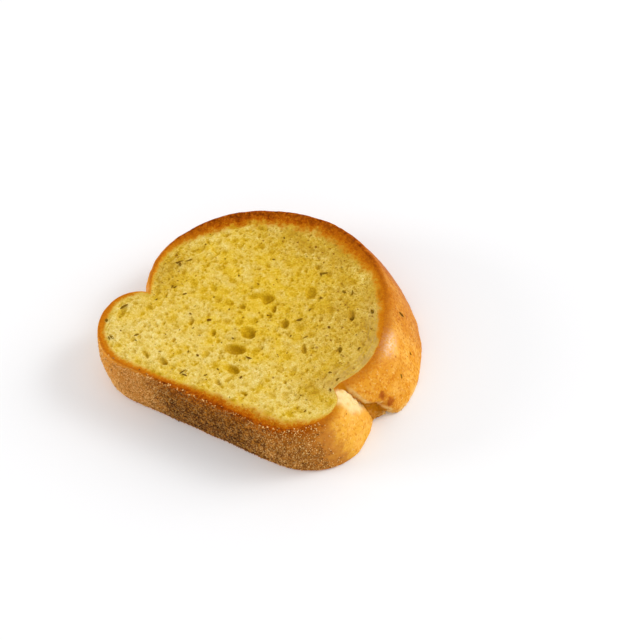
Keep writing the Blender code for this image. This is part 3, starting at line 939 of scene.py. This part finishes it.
    # Layers of colour: what they make, on what, and each colour with the mask that says
    # how much of it shows, or one name for both.
    for made, base, layers in (
            ("crumb", "crumbRamp", (
                ("butterRamp", "soaked"), "khaki", "pale", "dots", ("dots", "khakiDot"))),
            ("crust", "crust", (
                "crustPale", "lobeGold", "crustDeep", ("crustDeep", "crustFine"), "crustFleck",
                "paintedBroadHighlight", "paintedHighlightFlecks", "crustBaked", "bakedFine", "blisters", "mealTan", "bakedGroundAndPaintedGapShade",
                "gritPale", "torn", "tornShade", "paintedShadeUnderLip", "lipEdge")),
            ("toasted", "paleRimRamp", (("rimRamp", "toast"), "char", "ember")),
            ("top", "crumb", (("toasted", "faceRim"),)),
            ("wall", "crust", (("toasted", "wallRim"), ("toasted", "edge"), ("crust", "torn"))),
            ("whole", "wall", (("top", "face"),))):
        colour[made] = colour[base]
        for layer in layers:
            over, amount = layer if isinstance(layer, tuple) else (layer, layer)
            painted = colour.get(over) or linear(look[over])
            colour[made] = addMix(tree, value[amount], colour[made], painted)

    grain = addMix(tree, value["face"], value["skin"], value["web"], "FLOAT")
    coarse = addNode(
        tree, "ShaderNodeBump", {"Height": grain, "Strength": 0.6, "Distance": 0.35 * mm})
    fine = addNode(
        tree, "ShaderNodeBump",
        {"Height": value["speck"], "Strength": 0.35, "Distance": 0.12 * mm,
         "Normal": coarse.outputs["Normal"]})
    rough = addMix(tree, value["face"], value["crustRough"], value["crumbRough"], "FLOAT")
    for name in ("grit", "toast"):
        rough = addMath(tree, "MULTIPLY_ADD", value[name], 0.35, rough, clamp=True)
    setInputs(tree, shader, {
        "Base Color": colour["whole"], "Normal": fine.outputs["Normal"], "Roughness": rough,
        "IOR": 1.4, "Specular IOR Level": 0.03, "Coat Weight": value["coatAndPaintedSheen"],
        "Coat Roughness": 0.32, "Coat IOR": 1.4, "Subsurface Weight": 0.1,
        "Subsurface Radius": (1.0, 0.5, 0.15), "Subsurface Scale": 2.0 * mm})
    return material


bread = buildBread()
bread.data.materials.append(toastedBreadMaterial())
print("bread made,", len(bread.data.polygons), "faces")


def surfaceTree(piece):
    return BVHTree.FromObject(piece, bpy.context.evaluated_depsgraph_get())


def tintedMesh(name, verts, faces, tints):
    # tints holds one value for each vertex, which the material reads.
    mesh = bpy.data.meshes.new(name)
    mesh.from_pydata(verts, [], faces)
    mesh.attributes.new("tint", "FLOAT", "POINT").data.foreach_set("value", tints)
    mesh.shade_smooth()
    return mesh


# Strews shapes over the part of a surface where its mask is high: in its own tree so
# that flakes and grains share it. Sizes are factors of the shapes' own size.
strewInputs = (
    ("Surface", "NodeSocketObject"), ("Shapes", "NodeSocketCollection"),
    ("Mask", "NodeSocketString"), ("Spacing", "NodeSocketFloat"),
    ("Density", "NodeSocketFloat"), ("Smallest", "NodeSocketFloat"),
    ("Largest", "NodeSocketFloat"), ("Tilt", "NodeSocketFloat"), ("Lift", "NodeSocketFloat"),
    ("Seed", "NodeSocketInt"), ("Finish", "NodeSocketMaterial"),
)


def strewTree():
    tree = bpy.data.node_groups.new("strewOnSurface", "GeometryNodeTree")
    for way in ("INPUT", "OUTPUT"):
        tree.interface.new_socket("Geometry", in_out=way, socket_type="NodeSocketGeometry")
    for name, kind in strewInputs:
        tree.interface.new_socket(name, in_out="INPUT", socket_type=kind)
    given = addNode(tree, "NodeGroupInput").outputs
    surface = addNode(tree, "GeometryNodeObjectInfo", {"Object": given["Surface"]})
    mask = addNode(
        tree, "GeometryNodeInputNamedAttribute", {"Name": given["Mask"]}, data_type="FLOAT")
    spread = addNode(
        tree, "GeometryNodeDistributePointsOnFaces",
        {"Mesh": surface.outputs["Geometry"], "Distance Min": given["Spacing"],
         "Density Max": given["Density"], "Density Factor": mask.outputs["Attribute"],
         "Seed": given["Seed"]}, distribute_method="POISSON")
    lift = addNode(
        tree, "ShaderNodeVectorMath", {0: spread.outputs["Normal"], "Scale": given["Lift"]},
        operation="SCALE")
    lifted = addNode(
        tree, "GeometryNodeSetPosition",
        {"Geometry": spread.outputs["Points"], "Offset": lift.outputs["Vector"]})

    # Each shape is turned about its normal, tilted a little and mostly small.
    leastTilt = addMath(tree, "MULTIPLY", given["Tilt"], -1.0)
    least = addNode(tree, "ShaderNodeCombineXYZ", {"X": leastTilt, "Y": leastTilt, "Z": 0.0})
    most = addNode(
        tree, "ShaderNodeCombineXYZ",
        {"X": given["Tilt"], "Y": given["Tilt"], "Z": 2 * math.pi})
    turn = addNode(
        tree, "FunctionNodeRandomValue",
        {0: least.outputs["Vector"], 1: most.outputs["Vector"], "Seed": given["Seed"]},
        data_type="FLOAT_VECTOR")
    euler = addNode(tree, "FunctionNodeEulerToRotation", {"Euler": turn.outputs[0]})
    turned = addNode(
        tree, "FunctionNodeRotateRotation",
        {"Rotation": spread.outputs["Rotation"], "Rotate By": euler.outputs["Rotation"]},
        rotation_space="LOCAL")
    chance = addNode(
        tree, "FunctionNodeRandomValue", {2: 0.0, 3: 1.0, "Seed": 11}, data_type="FLOAT")
    mostlySmall = addMath(tree, "POWER", chance.outputs[1], 1.8)
    size = addNode(
        tree, "ShaderNodeMapRange",
        {"Value": mostlySmall, "To Min": given["Smallest"], "To Max": given["Largest"]})
    shapes = addNode(
        tree, "GeometryNodeCollectionInfo",
        {"Collection": given["Shapes"], "Separate Children": True, "Reset Children": True})
    placed = addNode(
        tree, "GeometryNodeInstanceOnPoints",
        {"Points": lifted.outputs["Geometry"], "Instance": shapes.outputs["Instances"],
         "Pick Instance": True, "Rotation": turned.outputs["Rotation"],
         "Scale": size.outputs["Result"]})
    tint = addNode(
        tree, "FunctionNodeRandomValue", {2: 0.0, 3: 1.0, "Seed": 23}, data_type="FLOAT")
    tinted = addNode(
        tree, "GeometryNodeStoreNamedAttribute",
        {"Geometry": placed.outputs["Instances"], "Name": "tint", "Value": tint.outputs[1]},
        data_type="FLOAT", domain="INSTANCE")
    real = addNode(
        tree, "GeometryNodeRealizeInstances", {"Geometry": tinted.outputs["Geometry"]})
    both = addNode(tree, "GeometryNodeJoinGeometry", {"Geometry": given["Geometry"]})
    tree.links.new(real.outputs["Geometry"], both.inputs["Geometry"])
    finished = addNode(
        tree, "GeometryNodeSetMaterial",
        {"Geometry": both.outputs["Geometry"], "Material": given["Finish"]})
    addNode(tree, "NodeGroupOutput", {"Geometry": finished.outputs["Geometry"]})
    return tree


strewOnSurface = strewTree()


def strew(name, startMesh, shapes, values):
    # The strewn shapes joined to the start mesh, as one plain mesh.
    piece = addObject(name, startMesh)
    collection = bpy.data.collections.new(name + "Shapes")
    bpy.context.scene.collection.children.link(collection)
    for k, shape in enumerate(shapes):
        collection.objects.link(bpy.data.objects.new(f"{name}Shape{k}", shape))
    values = {**values, "Surface": bread, "Shapes": collection}
    modifier = piece.modifiers.new("strew", "NODES")
    modifier.node_group = strewOnSurface
    for item in strewOnSurface.interface.items_tree:
        if item.in_out == "INPUT" and item.name in values:
            modifier[item.identifier] = values[item.name]
    bpy.context.view_layer.update()
    graph = bpy.context.evaluated_depsgraph_get()
    mesh = bpy.data.meshes.new_from_object(piece.evaluated_get(graph))
    piece.modifiers.remove(modifier)
    piece.data = mesh
    mesh.shade_smooth()
    for shape in list(collection.objects):
        bpy.data.objects.remove(shape)
    bpy.data.collections.remove(collection)
    return piece


# Dried parsley and oregano: brittle, curled scraps of leaf, a few mm long at most.
# Placed ones are u, v, length, width, turn in degrees.
herbs = {
    "placed": (
        (-47.5, 59.5, 4.0, 1.1, 62), (-46.3, 58.2, 2.6, 0.9, 20), (-44.0, 61.9, 3.2, 0.5, -20),
        (-56.0, 27.2, 4.2, 1.1, 75), (-50.7, 10.6, 3.6, 0.7, 38), (-51.6, 9.8, 2.6, 0.5, 30),
        (-58.6, 17.4, 1.9, 1.1, 20), (-41.4, 16.6, 2.4, 0.8, 70), (17.0, 80.2, 3.8, 0.6, 62),
        (16.0, 79.0, 2.4, 0.5, 20), (-11.2, 8.9, 3.4, 0.6, 78), (-9.7, 8.0, 2.6, 0.6, 45),
        (20.4, 53.7, 3.0, 0.8, -20), (44.7, 47.5, 2.4, 1.0, 110), (34.0, 76.0, 2.8, 0.6, 15),
        (11.0, 27.2, 3.2, 0.5, 45), (27.6, 46.8, 2.6, 0.6, 75), (-42.3, 45.8, 2.6, 0.5, 100),
        (-41.0, 46.4, 2.2, 0.4, 75), (34.5, 55.3, 1.6, 0.9, 30), (51.2, 33.8, 1.7, 1.0, 80),
        (13.6, 17.0, 1.5, 0.8, 0), (-10.1, 18.8, 1.4, 0.8, 40), (-15.1, 18.9, 1.3, 0.7, 10),
        (-34.7, 44.9, 2.2, 0.5, -25), (30.5, 74.9, 2.0, 0.9, 40), (51.7, 51.2, 1.6, 0.6, 80),
        (46.8, 35.2, 1.5, 0.7, 60), (51.5, 27.5, 2.0, 0.6, 20), (-16.3, 37.0, 2.0, 1.1, 60),
        (21.6, 60.4, 1.5, 0.8, 90), (40.8, 64.0, 2.4, 0.9, 60), (47.0, 70.8, 2.2, 0.8, 30),
        (-1.0, 33.0, 1.2, 0.6, 45), (-26.0, 36.6, 1.5, 0.6, 40)),
    "crustTurn": 1.1,        # turn in radians of those on the crust
    "onCrust": (             # u, v, h, length, width
        (56.9, 77.5, 18.6, 3.2, 1.1), (69.7, 52.9, 12.0, 2.0, 0.7), (67.1, 65.6, 10.8, 1.4, 0.8)),
    "widen": 1.3,
    "shapes": 5,
    "thickness": 0.13,
    "seed": 21,
    "strew": {
        "Mask": "herbGround", "Spacing": 3.2 * mm, "Density": 6000.0, "Smallest": 0.6,
        "Largest": 1.5, "Tilt": 0.3, "Lift": 0.08 * mm, "Seed": 4},
    "fresh": "#8c6a0c", "dry": "#683f05", "straw": "#b48c24",
}


def herbScrap(length, width, rng):
    # A bent scrap of leaf about its own middle, closed all round.
    stations, half = 6, herbs["thickness"] / 2
    bend, curl, fold = rng.uniform(-0.3, 0.3), rng.uniform(0.0, 0.22), rng.uniform(0.0, 0.5)
    verts, faces = [], []
    for k in range(stations):
        share = k / (stations - 1) * 2 - 1
        reach = width / 2 * max(0.12, (1 - abs(share) ** 2.4)) * rng.uniform(0.7, 1.15)
        x, middle = share * length / 2, bend * length * (0.25 - share * share / 4)
        rise = curl * length * share * share * 0.5
        for side in (-1, 0, 1):
            for over in (half, -half):
                high = rise + fold * abs(side) * reach + over
                verts.append(Vector((x, middle + side * reach, high)) * mm)
    for k in range(stations - 1):
        a, b = k * 6, k * 6 + 6
        for near, far in ((0, 2), (2, 4)):
            faces.append((a + near, b + near, b + far, a + far))
            faces.append((a + near + 1, a + far + 1, b + far + 1, b + near + 1))
        faces.append((a, a + 1, b + 1, b))
        faces.append((a + 4, b + 4, b + 5, a + 5))
    last = (stations - 1) * 6
    faces += [(0, 2, 3, 1), (2, 4, 5, 3)]
    faces += [(last, last + 1, last + 3, last + 2), (last + 2, last + 3, last + 5, last + 4)]
    return verts, faces


def driedHerbMaterial():
    # Dull dry leaf: olive to dark brown from scrap to scrap, with faint veins.
    material, tree, shader = newMaterial("driedHerb")
    coords = addNode(tree, "ShaderNodeTexCoord").outputs["Object"]
    tint = addMask(tree, "tint")
    veins = addNoise(tree, coords, 0.4, Detail=2.0).outputs["Fac"]
    leaf = addMix(tree, tint, linear(herbs["fresh"]), linear(herbs["dry"]))
    leaf = addMix(tree, addRange(tree, veins, 0.5, 0.8, 0.6), leaf, linear(herbs["straw"]))
    setInputs(
        tree, shader, {"Base Color": leaf, "Roughness": 0.9, "Specular IOR Level": 0.05})
    return material


def onBread(u, v, h):
    # A place given in the bread's millimetres, in metres in the frame.
    return Vector((u - loaf["middle"][0], v - loaf["middle"][1], h)) * mm


def addHerbs():
    rng = np.random.default_rng(herbs["seed"])
    ground = surfaceTree(bread)
    verts, faces, tints = [], [], []

    def lay(point, normal, turn, length, width):
        flat, sides = herbScrap(length, width, rng)
        lie = normal.to_track_quat("Z", "Y").to_matrix().to_4x4()
        place = Matrix.Translation(point) @ lie @ Matrix.Rotation(turn, 4, "Z")
        faces.extend(tuple(k + len(verts) for k in side) for side in sides)
        verts.extend(place @ vert for vert in flat)
        tints.extend([rng.uniform(0.2, 1.0)] * len(flat))

    for u, v, length, width, degrees in herbs["placed"]:
        # It lies on the two places under its ends.
        turn = math.radians(degrees)
        along = Vector((math.cos(turn), math.sin(turn), 0))
        across = Vector((-math.sin(turn), math.cos(turn), 0))
        low, high = (
            ground.ray_cast(
                onBread(u, v, 100.0) + along * reach * length * mm, Vector((0, 0, -1)))[0]
            for reach in (-0.35, 0.35))
        normal = (high - low).normalized().cross(across)
        place = (low + high) / 2 + Vector((0, 0, 0.1 * mm))
        lay(place, normal, turn, length, width * herbs["widen"])
    for u, v, h, length, width in herbs["onCrust"]:
        point, normal, _, _ = ground.find_nearest(onBread(u, v, h))
        lay(point + normal * 0.03 * mm, normal, herbs["crustTurn"], length, width)
    start = tintedMesh("driedHerbFlakes", verts, faces, tints)
    shapes = []
    for _ in range(herbs["shapes"]):
        flat, sides = herbScrap(1.0, rng.uniform(0.3, 0.8), rng)
        shapes.append(tintedMesh("scrap", flat, sides, [0.5] * len(flat)))
    finish = driedHerbMaterial()
    return strew("driedHerbFlakes", start, shapes, {**herbs["strew"], "Finish": finish})


flakes = addHerbs()
print("herbs strewn,", len(flakes.data.polygons), "faces")


# Cornmeal that stuck to the base of the loaf: hard angular grains, straw to gold.
cornmeal = {
    "shapes": 6,
    "seed": 31,
    "strew": {
        "Mask": "gritGround", "Spacing": 0.52 * mm, "Density": 4.0e6, "Smallest": 0.4,
        "Largest": 1.0, "Tilt": math.pi, "Lift": 0.05 * mm, "Seed": 6},
    "ramp": ((0.0, "#8a5420"), (0.2, "#d09648"), (0.6, "#eabc74")),
    "baked": "#5e2c06",
}


def cornmealMaterial():
    # Dry ground corn, half glassy: pale straw, gold and browned grains side by side.
    material, tree, shader = newMaterial("cornmeal")
    tint, bake = addMask(tree, "tint"), addMask(tree, "bake")
    lightness = addMath(tree, "MULTIPLY_ADD", bake, -0.4, tint)
    corn = addRamp(tree, lightness, cornmeal["ramp"])
    corn = addMix(tree, addRange(tree, bake, 0.15, 1.1, 0.6), corn, linear(cornmeal["baked"]))
    setInputs(tree, shader, {"Base Color": corn, "Roughness": 0.7, "Specular IOR Level": 0.1})
    return material


def addCornmeal():
    rng = np.random.default_rng(cornmeal["seed"])
    shapes = []
    for _ in range(cornmeal["shapes"]):
        grain = bmesh.new()
        bmesh.ops.create_icosphere(grain, subdivisions=1, radius=0.5 * mm)
        squash = rng.uniform(0.6, 1.0, 3)
        for vert in grain.verts:
            vert.co = Vector(vert.co * rng.uniform(0.8, 1.15)) * Vector(squash)
        mesh = bpy.data.meshes.new("grain")
        grain.to_mesh(mesh)
        grain.free()
        shapes.append(mesh)
    start = bpy.data.meshes.new("cornmealGrains")
    finish = cornmealMaterial()
    return strew("cornmealGrains", start, shapes, {**cornmeal["strew"], "Finish": finish})


grains = addCornmeal()
print("cornmeal strewn,", len(grains.data.polygons), "faces")

for piece, slotName in (
        (bread, "toasted_bread"), (flakes, "dried_herb"), (grains, "cornmeal")):
    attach(piece, "root")
    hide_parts("garlic_bread_slice")


# The floor and the light of a plain studio.
studio = {
    "floorSize": 6.0,
    "floorColour": "#f4f4f5",
    "worldColour": "#ffffff",
    "worldStrength": 0.76,
    "lights": (
        {"name": "key", "from": (0.75, 0.62, 0.55), "far": 4.0, "size": 2.8, "watts": 78.0},
        {"name": "window", "from": (0.66, 0.58, 0.62), "far": 4.0, "size": 1.0, "watts": 20.0},
        {"name": "fill", "from": (-0.95, -0.5, 0.2), "far": 4.0, "size": 2.0, "watts": 85.0},
    ),
}


def addStudio():
    mesh = bpy.data.meshes.new("paleFloor")
    half = studio["floorSize"] / 2
    corners = [(-half, -half, 0), (half, -half, 0), (half, half, 0), (-half, half, 0)]
    mesh.from_pydata(corners, [], [(0, 1, 2, 3)])
    material, tree, shader = newMaterial("paleStudioFloor")
    setInputs(tree, shader, {"Base Color": linear(studio["floorColour"]), "Roughness": 0.6})
    mesh.materials.append(material)
    floor = addObject("paleFloor", mesh)
    floor.location.z = -0.05 * mm
    world = bpy.data.worlds.new("studio")
    world.use_nodes = True
    setInputs(
        world.node_tree, world.node_tree.nodes["Background"],
        {"Color": linear(studio["worldColour"]), "Strength": studio["worldStrength"]})
    bpy.context.scene.world = world
    for light in studio["lights"]:
        data = bpy.data.lights.new(light["name"], "AREA")
        data.shape = "DISK"
        data.size = light["size"]
        data.energy = light["watts"]
        lamp = addObject(light["name"], data)
        away = Vector(light["from"]).normalized()
        lamp.matrix_world = Matrix.LocRotScale(
            away * light["far"], away.to_track_quat("Z", "Y"), None)
    bpy.context.scene.view_settings.view_transform = "Standard"


addStudio()
print("studio lit")
